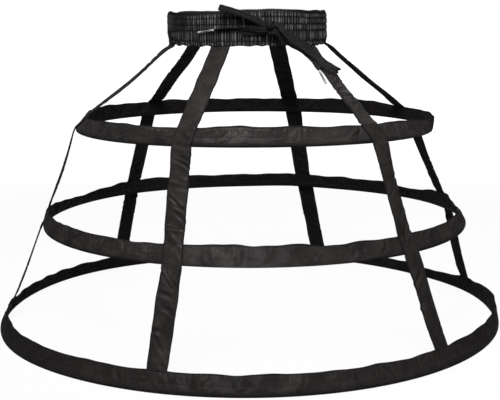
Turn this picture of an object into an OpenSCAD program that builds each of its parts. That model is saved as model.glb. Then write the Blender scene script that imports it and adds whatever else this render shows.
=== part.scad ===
// Crinoline cage: three hooped tape casings hung by six straps from a shirred drawstring waistband.
// The hem rests on z = 0 with its hoop centred on the origin, and the centre front faces -Y.

/* [Hoops] */
// Diameter over the bottom edge of the hem casing
hem_d = 700; // [620:1:900]
// Diameter over the bottom edge of the middle casing
mid_d = 592; // [540:1:610]
// Diameter over the bottom edge of the top casing
top_d = 498; // [400:1:530]
// Height of the middle casing's bottom edge above the hem
mid_z = 136; // [90:1:180]
// Height of the top casing's bottom edge above the hem
top_z = 268; // [225:1:310]
// Sideways drift of the middle hoop as it hangs
mid_sway = 8; // [-15:1:15]
// Sideways drift of the top hoop as it hangs
top_sway = 10; // [-15:1:15]

/* [Casings] */
// Width of a casing laid flat
casing_w = 25; // [22:0.5:32]
// Thickness of a casing round its bottom fold
casing_fold_t = 6; // [5.6:0.1:8]
// Thickness of the casing tape
casing_wall = 0.8; // [0.6:0.05:0.9]
// Lean of the hem casing towards the waist
hem_lean = 27; // [10:1:35]
// Lean of the middle casing towards the waist
mid_lean = 27; // [10:1:35]
// Lean of the top casing towards the waist
top_lean = 17; // [8:1:30]
// Height pressed flat under the hem where it rests
hem_press = 0.4; // [0.2:0.1:0.8]

/* [Hoop steels] */
// Width of the flat spring steel
steel_w = 8; // [6:0.5:9]
// Thickness of the flat spring steel
steel_t = 1; // [0.6:0.1:1.2]
// Gap between the butted ends of a steel
steel_end_gap = 2; // [1:0.5:6]
// Length of the crimped sleeve over the butted ends
joiner_l = 36; // [20:1:60]
// Wall of the crimped sleeve
joiner_wall = 0.5; // [0.3:0.05:0.6]

/* [Straps] */
// Width of a strap
strap_w = 26; // [15:0.5:32]
// Thickness of a strap
strap_t = 1.3; // [0.8:0.1:1.5]
// Length of strap sewn up inside the waistband
strap_tuck_top = 12; // [8:1:13]
// Length of strap sewn down inside the hem casing
strap_tuck_hem = 9; // [6:1:10]

/* [Waistband] */
// Width of the waist opening
waist_w = 208; // [180:1:260]
// Depth of the waist opening from front to back
waist_d = 166; // [140:1:220]
// Height of the waistband's lower edge above the hem
band_z = 383; // [350:1:430]
// Height of the waistband
band_h = 46; // [40:1:60]
// Thickness of the waistband cloth
band_wall = 1.1; // [0.8:0.1:1.4]
// Number of gathers around the waistband
gathers = 100; // [60:2:110]
// Depth of a gather
gather_depth = 1.6; // [0.8:0.1:2]
// Number of shirred rows, one above another
shirr_rows = 5; // [3:1:6]
// Swell of the cloth between two rows of stitching
row_puff = 0.6; // [0.2:0.1:0.8]
// Height of the elastic inside the waistband
elastic_h = 36; // [25:1:38]
// Thickness of the elastic
elastic_t = 1.6; // [1:0.1:2]

/* [Drawstring] */
// Width of the flat lace
lace_w = 8; // [6:0.5:9]
// Thickness of the flat lace
lace_t = 1.8; // [1.2:0.1:2]
// Height of the lace's middle inside the waistband, above the hem
lace_z = 401; // [400:1:403]
// Distance between the two buttonholes at the centre front
buttonhole_pitch = 48; // [44:1:60]
// Diameter of the knot
knot_d = 12; // [10:0.5:12]
// Length of the knot across the front
knot_l = 12; // [11:0.5:12]
// Diameter of an aglet
aglet_d = 2.8; // [2:0.1:3]
// Length of an aglet
aglet_l = 24; // [15:1:28]

/* [Fits] */
// Clearance between pieces that are sewn or laid together
seat = 0.25; // [0.15:0.05:0.3]
// Clearance of a steel inside its sleeve
steel_fit = 0.1; // [0.05:0.05:0.2]

/* [Hidden] */
// The names of the pieces
$fn = 96;

tape_black = [0.13, 0.125, 0.125];
steel_grey = [0.62, 0.63, 0.65];
elastic_black = [0.09, 0.09, 0.09];
lace_black = [0.07, 0.07, 0.075];
aglet_grey = [0.72, 0.72, 0.7];

// Angles of each strap from the centre front, as it hangs: at the waist, at the upper and lower edges of the
// top casing and of the middle casing, and at the hem
FRONT_RIGHT_ANGLES = [48, 23.7, 26.4, 28.7, 28.8, 32.9];
SIDE_RIGHT_ANGLES = [88, 105.5, 103, 93.3, 92.5, 94.2];
BACK_RIGHT_ANGLES = [141, 155, 153.9, 151.9, 151.6, 147.9];
BACK_LEFT_ANGLES = [221.5, 208.5, 210.9, 211.5, 211.2, 209];
SIDE_LEFT_ANGLES = [277, 268, 268, 262, 262, 261];
FRONT_LEFT_ANGLES = [326.2, 329.2, 328.1, 329.3, 329.8, 330.7];
STRAP_ANGLES = [
    FRONT_RIGHT_ANGLES, SIDE_RIGHT_ANGLES, BACK_RIGHT_ANGLES,
    BACK_LEFT_ANGLES, SIDE_LEFT_ANGLES, FRONT_LEFT_ANGLES];

// Hoops as [diameter, height of the bottom edge, sway, lean]
HEM = [hem_d, -hem_press, 0, hem_lean];
MID = [mid_d, mid_z, mid_sway, mid_lean];
TOP = [top_d, top_z, top_sway, top_lean];

// Casing section: a round fold at the bottom, and a thinner round at the sewn edge that takes a strap's end
fold_r = casing_fold_t / 2;
pocket_fold_r = fold_r - casing_wall;
pocket_edge_r = strap_t / 2 + seat;
edge_r = pocket_edge_r + casing_wall;
casing_rise = casing_w - fold_r - edge_r;
round_steps = 10;

// Steel and sleeve, resting low in the casing's fold
joiner_t = steel_t + 2 * (steel_fit + joiner_wall);
joiner_w = steel_w + 2 * (steel_fit + joiner_wall);
joiner_low = -sqrt(pow(pocket_fold_r - seat, 2) - pow(joiner_t / 2, 2));
steel_low = joiner_low + joiner_wall + steel_fit;

// Layers of the waistband, measured out from the waist opening
elastic_in = band_wall + seat;
lace_in = elastic_in + elastic_t + seat;
band_pocket_out = lace_in + max(lace_t, strap_t) + seat;
band_valley = band_pocket_out + band_wall;
band_crest = band_valley + gather_depth + row_puff;
band_top_wall = 2 * band_wall;
pocket_h = band_h - band_top_wall;
stitch_gather = 0.5;
top_ruffle = 0.4;
lead_in = band_crest + seat;
lead_out = lead_in + lace_t;

// Knot, set against the front of the waistband just beside the centre front
knot_x = 11;
knot_y = -98;
knot_z = 409;

// Lace routes from the knot outwards, and the direction of the lace's width at the knot and at the far end
knot_left = knot_x - knot_l / 2 - seat;
knot_right = knot_x + knot_l / 2 + seat;
loop_left_route = [
    [knot_left, -96, 412], [1, -96, 412], [-8, -94, 417], [-25, -91, 424], [-40, -88, 429], [-50, -88, 432],
    [-54, -91, 433], [-51, -96, 432], [-40, -98, 429], [-25, -99, 424], [-8, -100, 417], [1, -100, 412],
    [knot_left, -100, 412]];
loop_left_flat = [[0.36, 0, 0.93], [0.36, 0, 0.93]];
loop_right_route = [
    [knot_right, -96, 408], [21, -96, 408], [40, -94, 395], [58, -93, 385], [71, -93, 375], [80, -107, 364],
    [90, -115, 357], [96, -121, 353], [93, -128, 352], [84, -131, 355], [73, -127, 361.5], [63, -114, 371.5],
    [51, -107, 382], [36, -105, 392], [28, -103.5, 402], [21, -100, 410], [knot_right, -100, 410]];
loop_right_flat = [[0.66, 0, 0.75], [0.58, 0.74, 0.21]];
tail_left_route = [
    [knot_left, -99, 404], [-2, -99, 404], [-12, -96, 405], [-24, -93, 405], [-36, -89.5, 405],
    [-48, -85.5, 405], [-60, -80, 404]];
tail_left_flat = [[0, 0, 1], [0, 0, 1]];
tail_right_route = [
    [knot_right, -99, 401.5], [20, -99, 401.5], [30, -98, 391], [40, -98, 385], [52, -101, 378], [60, -109, 370],
    [65, -124, 361], [67, -137, 352]];
tail_right_flat = [[0.6, 0, 0.8], [0.95, 0.2, -0.15]];
aglet_left_way = [-18, 11, -3];
aglet_right_way = [5, -18, -17];
lace_sides = 8;

// Small vector helpers
function unit(v) = v / norm(v);
function across(v, along) = unit(v - along * (v * along));
function mix(a, b, t) = a + (b - a) * t;

// Around the waist: t is the oval's own angle from the centre front, n the distance out from the opening
function waist_normal(t) = unit([waist_d * sin(t), -waist_w * cos(t)]);
function waist_point(t, n) = [waist_w / 2 * sin(t), -waist_d / 2 * cos(t)] + n * waist_normal(t);
function waist_angle_at(azimuth) = atan2(waist_d * sin(azimuth), waist_w * cos(azimuth));
function waist_angle_over(x) = asin(x / (waist_w / 2 + lead_in));

// Centres of a casing's bottom round and top round, as [radius, height]
function fold_centre(hoop) = [hoop[0] / 2 - fold_r, hoop[1] + fold_r];
function casing_up(hoop) = [-sin(hoop[3]), cos(hoop[3])];
function edge_centre(hoop) = fold_centre(hoop) + casing_rise * casing_up(hoop);

// Outline of a tapered tube section standing on its larger round
function teardrop(low_r, high_r, rise) =
    let (lean = asin((low_r - high_r) / rise))
    concat(
        [for (i = [0 : round_steps])
            let (a = 180 - lean + (180 + 2 * lean) * i / round_steps)
            low_r * [cos(a), sin(a)]],
        [for (i = [0 : round_steps])
            let (a = lean + (180 - 2 * lean) * i / round_steps)
            [0, rise] + high_r * [cos(a), sin(a)]]);

// Triangles of a skin over rings of n points each; a closed skin joins its last ring to its first.
// The second half of a ring faces the first, and is split the other way so that a thin strip keeps its thickness.
function skin_sides(rings, n, closed) =
    [for (j = [0 : rings - (closed ? 1 : 2)], i = [0 : n - 1], half = [0, 1])
        let (
            next = (j + 1) % rings,
            a = j * n + i,
            b = j * n + (i + 1) % n,
            c = next * n + i,
            d = next * n + (i + 1) % n)
        i < n / 2
            ? (half == 0 ? [a, b, d] : [a, d, c])
            : (half == 0 ? [a, b, c] : [b, d, c])];
function skin_end(first, n, turned) =
    [for (i = [0 : n / 2 - 2], half = [0, 1])
        let (
            a = first + i,
            b = first + i + 1,
            c = first + n - 2 - i,
            d = first + n - 1 - i)
        turned
            ? (half == 0 ? [a, c, b] : [a, d, c])
            : (half == 0 ? [a, b, c] : [a, c, d])];

// A skin over open rings
module skin(rings) {
    n = len(rings[0]);
    polyhedron(
        points = [for (ring = rings, p = ring) p],
        faces = concat(
            skin_sides(len(rings), n, false),
            skin_end(0, n, true),
            skin_end((len(rings) - 1) * n, n, false)));
}

// Sets a section drawn beside a hoop's bottom round at the hoop's own radius, height and lean
module in_casing(hoop) {
    translate(fold_centre(hoop))
        rotate(hoop[3])
            children();
}

// A casing: tape folded over the hoop and sewn along its top edge
module casing(hoop) {
    translate([hoop[2], 0, 0])
        rotate_extrude()
            difference() {
                in_casing(hoop) polygon(teardrop(fold_r, edge_r, casing_rise));
                in_casing(hoop) polygon(teardrop(pocket_fold_r, pocket_edge_r, casing_rise));
                translate([0, -2 * fold_r]) square([hem_d, 2 * fold_r]);
            }
}

// A slot through the hem casing's top edge for each strap end
module strap_slots(hoop) {
    span = 2 * asin((strap_w / 2 + seat) / edge_centre(hoop)[0]);
    for (angles = STRAP_ANGLES)
        rotate([0, 0, angles[5] - 90 - span / 2])
            rotate_extrude(angle = span)
                in_casing(hoop)
                    translate([-pocket_edge_r, casing_rise]) square([2 * pocket_edge_r, 2 * edge_r]);
}

module casing_hem() {
    color(tape_black)
        difference() {
            casing(HEM);
            strap_slots(HEM);
        }
}

module casing_mid() {
    color(tape_black) casing(MID);
}

module casing_top() {
    color(tape_black) casing(TOP);
}

// A hoop of flat spring steel, cut at the centre back
module steel(hoop) {
    cut = steel_end_gap / (hoop[0] / 2) * 180 / PI;
    color(steel_grey)
        translate([hoop[2], 0, 0])
            rotate([0, 0, 90 + cut / 2])
                rotate_extrude(angle = 360 - cut)
                    in_casing(hoop)
                        translate([-steel_t / 2, steel_low]) square([steel_t, steel_w]);
}

// A sleeve crimped over the two ends of a steel
module joiner(hoop) {
    reach = joiner_l / (hoop[0] / 2) * 180 / PI;
    color(steel_grey)
        translate([hoop[2], 0, 0])
            rotate([0, 0, 90 - reach / 2])
                rotate_extrude(angle = reach)
                    in_casing(hoop)
                        difference() {
                            translate([-joiner_t / 2, joiner_low]) square([joiner_t, joiner_w]);
                            translate([-steel_t / 2 - steel_fit, steel_low - steel_fit])
                                square([steel_t + 2 * steel_fit, steel_w + 2 * steel_fit]);
                        }
}

module steel_hem() { steel(HEM); }
module steel_mid() { steel(MID); }
module steel_top() { steel(TOP); }
module joiner_hem() { joiner(HEM); }
module joiner_mid() { joiner(MID); }
module joiner_top() { joiner(TOP); }

// A strap lies over rounds given as [radius, height, size], in the upright plane of its own angle.
// Each stretch of strap touches two rounds, and this is the direction that its outer face looks in.
function stretch_angle(from, to) =
    let (way = [to[0] - from[0], to[1] - from[1]])
    atan2(way[1], way[0]) + acos((from[2] - to[2]) / norm(way));
function on_round(round, angle, size) = [round[0], round[1]] + size * [cos(angle), sin(angle)];

// Points of the strap on one round: an arc where it bends inwards, a corner where it bends outwards
bend_steps = 3;
function strap_bend(round, angle_in, angle_out) =
    angle_in > angle_out
        ? [for (i = [0 : bend_steps]) on_round(round, mix(angle_in, angle_out, i / bend_steps), round[2])]
        : [on_round(round, (angle_in + angle_out) / 2, round[2] / cos((angle_out - angle_in) / 2))];

// The top round and the bottom round of a hoop that a strap passes over, each at its own angle
function sway_at(hoop, angle) = hoop[2] * sin(angle);
function strap_rounds(hoop, upper_angle, lower_angle) =
    let (
        edge = edge_centre(hoop),
        fold = fold_centre(hoop),
        lift = seat + strap_t / 2)
    [
        [edge[0] + sway_at(hoop, upper_angle), edge[1], edge_r + lift],
        [fold[0] + sway_at(hoop, lower_angle), fold[1], fold_r + lift]];

// A strap station is [middle, direction of the width, bend radius across the strap]
function strap_station(hoop, angle, at) =
    let (out = at[0] - sway_at(hoop, angle))
    [[hoop[2] + out * sin(angle), -out * cos(angle), at[1]], [cos(angle), sin(angle), 0], hoop[0] / 2];
function strap_stations(angles) =
    let (
        t = waist_angle_at(angles[0]),
        waist = waist_point(t, lace_in + strap_t / 2),
        waist_out = waist_normal(t),
        hoops = [TOP, TOP, MID, MID],
        hem_edge = edge_centre(HEM),
        hem_mouth = hem_edge + (edge_r + strap_t) * casing_up(HEM),
        hem_end = hem_edge - strap_tuck_hem * casing_up(HEM),
        stops = concat(
            [[norm(waist), band_z - strap_t, 0]],
            strap_rounds(TOP, angles[1], angles[2]),
            strap_rounds(MID, angles[3], angles[4]),
            [[hem_mouth[0], hem_mouth[1], 0]]),
        faces = [for (i = [0 : len(stops) - 2]) stretch_angle(stops[i], stops[i + 1])])
    concat(
        [for (z = [strap_tuck_top, strap_t, -strap_t])
            [[waist[0], waist[1], band_z + z], [-waist_out[1], waist_out[0], 0], waist_bend(t)]],
        [for (i = [1 : 4], at = strap_bend(stops[i], faces[i - 1], faces[i]))
            strap_station(hoops[i - 1], angles[i], at)],
        [for (at = [hem_mouth, hem_end]) strap_station(HEM, angles[5], at)]);

// Bend radius of the waist oval at the oval's own angle t
function waist_bend(t) =
    let (a = waist_w / 2 + lace_in, b = waist_d / 2 + lace_in)
    pow(pow(a * cos(t), 2) + pow(b * sin(t), 2), 1.5) / (a * b);

// Section of a strap, first along its inner face and then back along its outer face
strap_section = concat(
    [for (x = [1 : -0.5 : -1]) [x, -1]],
    [for (x = [-1 : 0.5 : 1]) [x, 1]]);

// A strap: flat tape from inside the waistband, over two casings and into the hem casing
module strap(angles) {
    stations = strap_stations(angles);
    last = len(stations) - 1;
    rings = [
        for (i = [0 : last])
            let (
                middle = stations[i][0],
                breadth = stations[i][1],
                way_in = unit(stations[max(i, 1)][0] - stations[max(i, 1) - 1][0]),
                way_out = unit(stations[min(i, last - 1) + 1][0] - stations[min(i, last - 1)][0]),
                face = unit(cross(way_in + way_out, breadth)),
                thick = strap_t / 2 / max(0.5, norm(way_in + way_out) / 2),
                sag = pow(strap_w / 2, 2) / (2 * stations[i][2]))
            [for (p = strap_section)
                middle + breadth * p[0] * strap_w / 2 + face * (p[1] * thick - p[0] * p[0] * sag)]];
    color(tape_black) skin(rings);
}

module strap_front_right() { strap(FRONT_RIGHT_ANGLES); }
module strap_side_right() { strap(SIDE_RIGHT_ANGLES); }
module strap_back_right() { strap(BACK_RIGHT_ANGLES); }
module strap_back_left() { strap(BACK_LEFT_ANGLES); }
module strap_side_left() { strap(SIDE_LEFT_ANGLES); }
module strap_front_left() { strap(FRONT_LEFT_ANGLES); }

// Outer face of one fold of the shirred band, from its lower edge to its upper edge
shirr_steps = 2 * shirr_rows;
function shirr_face(crest) =
    [for (i = [0 : shirr_steps])
        let (
            in_row = i % 2,
            at_edge = i == 0 || i == shirr_steps,
            gather = crest * gather_depth * (in_row == 1 || at_edge ? 1 : stitch_gather))
        [band_valley + gather + in_row * row_puff, band_h * i / shirr_steps]];

// Whole section of the band: shirred outer face, top fold, inner face and the pocket open below
function band_section(crest) =
    concat(
        shirr_face(crest),
        [[band_valley / 2, band_h + (1 + crest) * top_ruffle], [0, pocket_h], [0, 0]],
        [[band_wall, 0], [band_wall, pocket_h], [band_pocket_out, pocket_h], [band_pocket_out, 0]]);

// Waistband: a doubled band of tape cloth, gathered in rows of stitching on its outer face
module waistband() {
    columns = 2 * gathers;
    sections = [for (crest = [0, 1]) band_section(crest)];
    n = len(sections[0]);
    color(tape_black)
        difference() {
            polyhedron(
                points = [for (j = [0 : columns - 1], p = sections[j % 2])
                    let (q = waist_point(360 * j / columns, p[0]))
                    [q[0], q[1], band_z + p[1]]],
                faces = skin_sides(columns, n, true));
            for (side = [-1, 1])
                at_buttonhole(side) lace_stub(seat);
        }
}

// Elastic: a woven ring that lies against the band's inner face
module waist_elastic() {
    color(elastic_black)
        translate([0, 0, band_z + pocket_h - seat - elastic_h])
            linear_extrude(elastic_h)
                difference() {
                    polygon(waist_oval(elastic_in + elastic_t));
                    polygon(waist_oval(elastic_in));
                }
}

oval_steps = 120;
function waist_oval(n) = [for (j = [0 : oval_steps - 1]) waist_point(360 * j / oval_steps, n)];

// Places a shape drawn along +X out of the band at the buttonhole on one side of the centre front
hole_angle = waist_angle_over(buttonhole_pitch / 2);
module at_buttonhole(side) {
    foot = waist_point(side * hole_angle, 0);
    way = waist_normal(side * hole_angle);
    translate([foot[0], foot[1], lace_z])
        rotate([0, 0, atan2(way[1], way[0])])
            children();
}

// The bit of lace that comes straight out through a buttonhole
module lace_stub(grow) {
    translate([lace_in - grow, -lace_t / 2 - grow, -lace_w / 2 - grow])
        cube([lead_out - lace_in + 2 * grow, lace_t + 2 * grow, lace_w + 2 * grow]);
}

// Drawstring inside the band, all round from one buttonhole to the other, with its ends turned out
module drawstring_in_band() {
    span = 360 - 2 * hole_angle;
    lace_steps = 90;
    angles = [for (j = [0 : lace_steps]) hole_angle + span * j / lace_steps];
    color(lace_black) {
        translate([0, 0, lace_z - lace_w / 2])
            linear_extrude(lace_w)
                polygon(concat(
                    [for (t = angles) waist_point(t, lace_in)],
                    [for (j = [lace_steps : -1 : 0]) waist_point(angles[j], lace_in + lace_t)]));
        for (side = [-1, 1])
            at_buttonhole(side) lace_stub(0);
    }
}

// Lace from a buttonhole to the knot, flat on the front of the band
lead_steps = 4;
module lead(side) {
    near = side * (hole_angle - (lace_t / 2 + seat / 2) / (waist_d / 2 + lead_in) * 180 / PI);
    far = waist_angle_over(side < 0 ? knot_left : knot_right);
    route = [for (i = [0 : lead_steps])
        let (p = waist_point(mix(near, far, i / lead_steps), (lead_in + lead_out) / 2))
        [p[0], p[1], lace_z]];
    color(lace_black) lace(route, [[0, 0, 1], [0, 0, 1]], false, lace_w);
}

module drawstring_lead_left() { lead(-1); }
module drawstring_lead_right() { lead(1); }

// Flat lace swept along a route; a loop turns its width towards the tip and back again
module lace(route, flat, is_loop, end_w) {
    last = len(route) - 1;
    corner = 1 / cos(180 / lace_sides);
    rings = [
        for (i = [0 : last])
            let (
                f = i / last,
                turn = is_loop ? 1 - abs(2 * f - 1) : f,
                way = unit(route[min(i + 1, last)] - route[max(i - 1, 0)]),
                breadth = across(mix(flat[0], flat[1], turn), way),
                face = cross(way, breadth),
                w = i == last ? end_w : lace_w)
            [for (k = [0 : lace_sides - 1])
                let (a = -360 * (k + 0.5) / lace_sides)
                route[i] + corner * (breadth * cos(a) * w / 2 + face * sin(a) * lace_t / 2)]];
    skin(rings);
}

// Knot of the bow: a short barrel with two turns of lace wrapped round it
module bow_knot() {
    turn_r = knot_l / 6;
    color(lace_black)
        translate([knot_x, knot_y, knot_z])
            rotate([0, 90, 0]) {
                cylinder(h = knot_l, d = knot_d - turn_r, center = true);
                for (side = [-1, 1])
                    translate([0, 0, side * turn_r])
                        rotate_extrude()
                            translate([knot_d / 2 - turn_r, 0]) circle(r = turn_r);
            }
}

module bow_loop_left() {
    color(lace_black) lace(loop_left_route, loop_left_flat, true, lace_w);
}

module bow_loop_right() {
    color(lace_black) lace(loop_right_route, loop_right_flat, true, lace_w);
}

module bow_tail_left() {
    color(lace_black) lace(tail_left_route, tail_left_flat, false, aglet_d);
}

module bow_tail_right() {
    color(lace_black) lace(tail_right_route, tail_right_flat, false, aglet_d);
}

// Aglet: a slim sleeve pressed on the end of a tail
module aglet(route, way) {
    end = route[len(route) - 1];
    dir = unit(way);
    tip_l = aglet_d / 2;
    color(aglet_grey)
        translate(end + dir * seat)
            rotate([0, acos(dir[2]), atan2(dir[1], dir[0])]) {
                cylinder(h = aglet_l - tip_l, d = aglet_d);
                translate([0, 0, aglet_l - tip_l]) cylinder(h = tip_l, d1 = aglet_d, d2 = aglet_d / 2);
            }
}

module aglet_left() { aglet(tail_left_route, aglet_left_way); }
module aglet_right() { aglet(tail_right_route, aglet_right_way); }

casing_hem();
casing_mid();
casing_top();
steel_hem();
steel_mid();
steel_top();
joiner_hem();
joiner_mid();
joiner_top();
strap_front_left();
strap_front_right();
strap_side_left();
strap_side_right();
strap_back_left();
strap_back_right();
waistband();
waist_elastic();
drawstring_in_band();
drawstring_lead_left();
drawstring_lead_right();
bow_knot();
bow_loop_left();
bow_loop_right();
bow_tail_left();
bow_tail_right();
aglet_left();
aglet_right();
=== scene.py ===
import math

import bpy
import numpy as np
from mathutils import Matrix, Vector


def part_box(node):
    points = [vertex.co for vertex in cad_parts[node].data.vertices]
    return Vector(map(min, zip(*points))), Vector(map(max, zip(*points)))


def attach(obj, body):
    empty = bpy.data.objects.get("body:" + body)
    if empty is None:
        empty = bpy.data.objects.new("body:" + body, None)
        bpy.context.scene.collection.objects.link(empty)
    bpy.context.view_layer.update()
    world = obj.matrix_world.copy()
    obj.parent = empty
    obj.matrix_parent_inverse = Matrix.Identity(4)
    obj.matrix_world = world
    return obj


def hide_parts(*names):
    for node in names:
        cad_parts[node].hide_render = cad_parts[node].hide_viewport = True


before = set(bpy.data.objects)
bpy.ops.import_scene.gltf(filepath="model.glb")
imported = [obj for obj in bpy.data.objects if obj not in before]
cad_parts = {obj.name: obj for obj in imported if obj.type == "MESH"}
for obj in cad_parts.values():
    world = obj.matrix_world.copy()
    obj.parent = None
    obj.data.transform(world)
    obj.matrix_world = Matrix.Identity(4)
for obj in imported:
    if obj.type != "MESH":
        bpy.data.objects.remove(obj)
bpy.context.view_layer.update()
mm = 0.001


# Hoop steels and their joiners.
# Each hoop is a strip of bright spring steel bent to a ring, with its ends butted at the centre back.
# A pressed brass sleeve is crimped over the ends, and both lie hidden in a casing's bottom fold.
class Wire:
    """A node's output that can stand in a sum, so that a finish is written as plain arithmetic."""

    def __init__(self, tree, socket=None):
        self.tree = tree
        self.socket = socket

    def node(self, kind, inputs=None, output=0, **settings):
        """Adds any node: its settings first, then the values or links of its sockets."""
        made = self.tree.nodes.new(kind)
        for name, value in settings.items():
            setattr(made, name, value)
        for name, value in (inputs or {}).items():
            if isinstance(value, Wire):
                self.tree.links.new(value.socket, made.inputs[name])
            else:
                made.inputs[name].default_value = value
        return Wire(self.tree, made.outputs[output])

    def math(self, operation, *values):
        return self.node("ShaderNodeMath", dict(enumerate(values)), operation=operation)

    def __add__(self, other):
        return self.math("ADD", self, other)

    def __sub__(self, other):
        return self.math("SUBTRACT", self, other)

    def __mul__(self, other):
        return self.math("MULTIPLY", self, other)

    def sine(self, wavelength):
        """A wave of this value, between -1 and 1, that repeats at a wavelength in metres."""
        return self.math("SINE", self * (2 * math.pi / wavelength))

    def blend(self, first, second):
        """A colour between two others, by this value."""
        return self.node("ShaderNodeMix", {0: self, 6: first, 7: second}, output=2, data_type="RGBA")


class Finish:
    """A material under way: its constants are set on the shader, and what varies is linked to it."""

    def __init__(self, name, constants):
        self.material = bpy.data.materials.new(name)
        self.material.use_nodes = True
        self.shader = self.material.node_tree.nodes["Principled BSDF"]
        for socket, value in constants.items():
            self.shader.inputs[socket].default_value = value
        self.wire = Wire(self.material.node_tree)
        self.places = self.wire.node("ShaderNodeTexCoord", output="Object")

    def link(self, socket, wire):
        self.material.node_tree.links.new(wire.socket, self.shader.inputs[socket])

    def grain(self, size, detail=3.0, stretch=(1, 1, 1), places=None):
        """Noise with grains of about a size in metres, drawn out by a stretch on each axis."""
        scale = tuple(1 / (size * s) for s in stretch)
        spot = self.wire.node("ShaderNodeMapping", {"Vector": places or self.places, "Scale": scale})
        return self.wire.node("ShaderNodeTexNoise", {"Vector": spot, "Scale": 1.0, "Detail": detail})

    def stored(self, name):
        """A number stored at each point of the piece."""
        return self.wire.node("ShaderNodeAttribute", output="Fac", attribute_name=name)

    def cut(self):
        """The flat cloth's own places, and its two directions: along it and across it."""
        flat = self.wire.node("ShaderNodeTexCoord", output="UV")
        return [flat] + [self.wire.node("ShaderNodeSeparateXYZ", {"Vector": flat}, output=k) for k in "XY"]

    def raised(self, height, depth):
        """Links a surface relief that is at most a depth in metres tall."""
        self.link("Normal", self.wire.node("ShaderNodeBump", {"Height": height, "Distance": depth}))


def shade(level, warmth=0.0):
    """A near-grey colour, a little warmer where warmth is above 0 and more violet where it is below."""
    red = max(warmth, 0)
    blue = max(-warmth, 0) - 0.3 * red
    return (level * (1 + red), level, level * (1 + blue), 1)


def dress(piece, material):
    if piece.material_slots:
        piece.material_slots[0].material = material
    else:
        piece.data.materials.append(material)


def spring_steel():
    finish = Finish("spring_steel", {"Metallic": 1.0})
    drawn = finish.grain(0.4 * mm, stretch=(60, 60, 1))
    stain = finish.grain(18 * mm)
    finish.link("Base Color", stain.blend(shade(0.42, 0.05), shade(0.62)))
    finish.link("Roughness", drawn * 0.2 + 0.2)
    finish.raised(drawn, 0.03 * mm)
    return finish.material


def crimp_brass():
    finish = Finish("crimp_brass", {"Metallic": 1.0})
    tarnish = finish.grain(5 * mm, detail=5)
    finish.link("Base Color", tarnish.blend((0.36, 0.25, 0.11, 1), (0.66, 0.52, 0.28, 1)))
    finish.link("Roughness", tarnish * 0.25 + 0.22)
    finish.raised(finish.grain(0.8 * mm), 0.05 * mm)
    return finish.material


def cloth(name, places, along, across, marks=None, ring=False):
    """A sheet cut flat as a grid and then laid at its places, given as rows of columns."""
    rows, columns = places.shape[:2]
    bpy.ops.object.select_all(action="DESELECT")
    bpy.ops.mesh.primitive_grid_add(x_subdivisions=columns - 1, y_subdivisions=rows - 1, size=2)
    sheet = bpy.context.object
    sheet.name = name
    mesh = sheet.data
    cut = np.zeros(len(mesh.vertices) * 3)
    mesh.vertices.foreach_get("co", cut)
    cut = cut.reshape(-1, 3)
    column = np.rint((cut[:, 0] + 1) / 2 * (columns - 1)).astype(int)
    row = np.rint((cut[:, 1] + 1) / 2 * (rows - 1)).astype(int)
    corner = np.zeros(len(mesh.loops), int)
    mesh.loops.foreach_get("vertex_index", corner)
    flat = np.stack([along[column], across[row]], axis=1)[corner]
    mesh.uv_layers[0].data.foreach_set("uv", flat.ravel())
    mesh.vertices.foreach_set("co", places[row, column].ravel())
    for kind, values in (marks or {}).items():
        mesh.attributes.new(kind, "FLOAT", "POINT").data.foreach_set("value", values[row, column])
    if ring:
        bpy.ops.object.mode_set(mode="EDIT")
        bpy.ops.mesh.select_all(action="SELECT")
        bpy.ops.mesh.remove_doubles(threshold=0.001 * mm)
        bpy.ops.object.mode_set(mode="OBJECT")
    mesh.update()
    bpy.ops.object.shade_smooth()
    return sheet


def belongs(piece, material, slot, *nodes):
    """Dresses a finished piece, fastens it to the root and hides the parts of the model that it stands for;
    the slot is not used.
    """
    dress(piece, material)
    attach(piece, "root")
    if nodes:
        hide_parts(*nodes)


def hump(turn, angle, spread):
    """1 at an angle in degrees, falling off round the ring over a spread in degrees."""
    gap = (np.degrees(turn) - angle + 180) % 360 - 180
    return np.exp(-((gap / spread) ** 2))


def strays(turn, humps):
    """The sum of humps round a ring, given as (angle, spread, height)."""
    return sum((tall * hump(turn, angle, spread) for angle, spread, tall in humps), 0 * turn)


casing_w = 25 * mm
fold_r = 3 * mm
edge_r = 1.7 * mm
rise = casing_w - fold_r - edge_r


class Hoop:
    """Where a hoop and its casing lie, and how far they stray round it from a true ring.

    The strays are humps of the lean in degrees, and in millimetres of the height, of the radius and of the
    casing's width. The stops are the places of this hoop in a strap's list of angles.
    """

    def __init__(self, name, stops, lean, twists, lifts, outs, grows):
        low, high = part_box("casing_" + name)
        self.name = name
        self.stops = stops
        self.lean = lean
        self.twists = twists
        self.lifts = lifts
        self.outs = outs
        self.grows = grows
        self.floor = low.z
        self.sway = (low.x + high.x) / 2
        self.fold = (high.x - low.x) / 2 - fold_r
        self.height = high.z - edge_r - rise * math.cos(math.radians(lean))

    def section(self, turn, x, y):
        """Radius and height of a place x out from the tape's middle and y up it from the fold's centre."""
        lean = np.radians(self.lean + strays(turn, self.twists))
        y = y + strays(turn, self.grows) * mm * np.maximum(y / rise, 0)
        radius = self.fold + strays(turn, self.outs) * mm + x * np.cos(lean) - y * np.sin(lean)
        height = self.height + strays(turn, self.lifts) * mm + x * np.sin(lean) + y * np.cos(lean)
        return radius, np.maximum(height, self.floor)

    def place(self, turn, radius, height):
        return np.stack([self.sway + radius * np.sin(turn), -radius * np.cos(turn), height], axis=-1)


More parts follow.
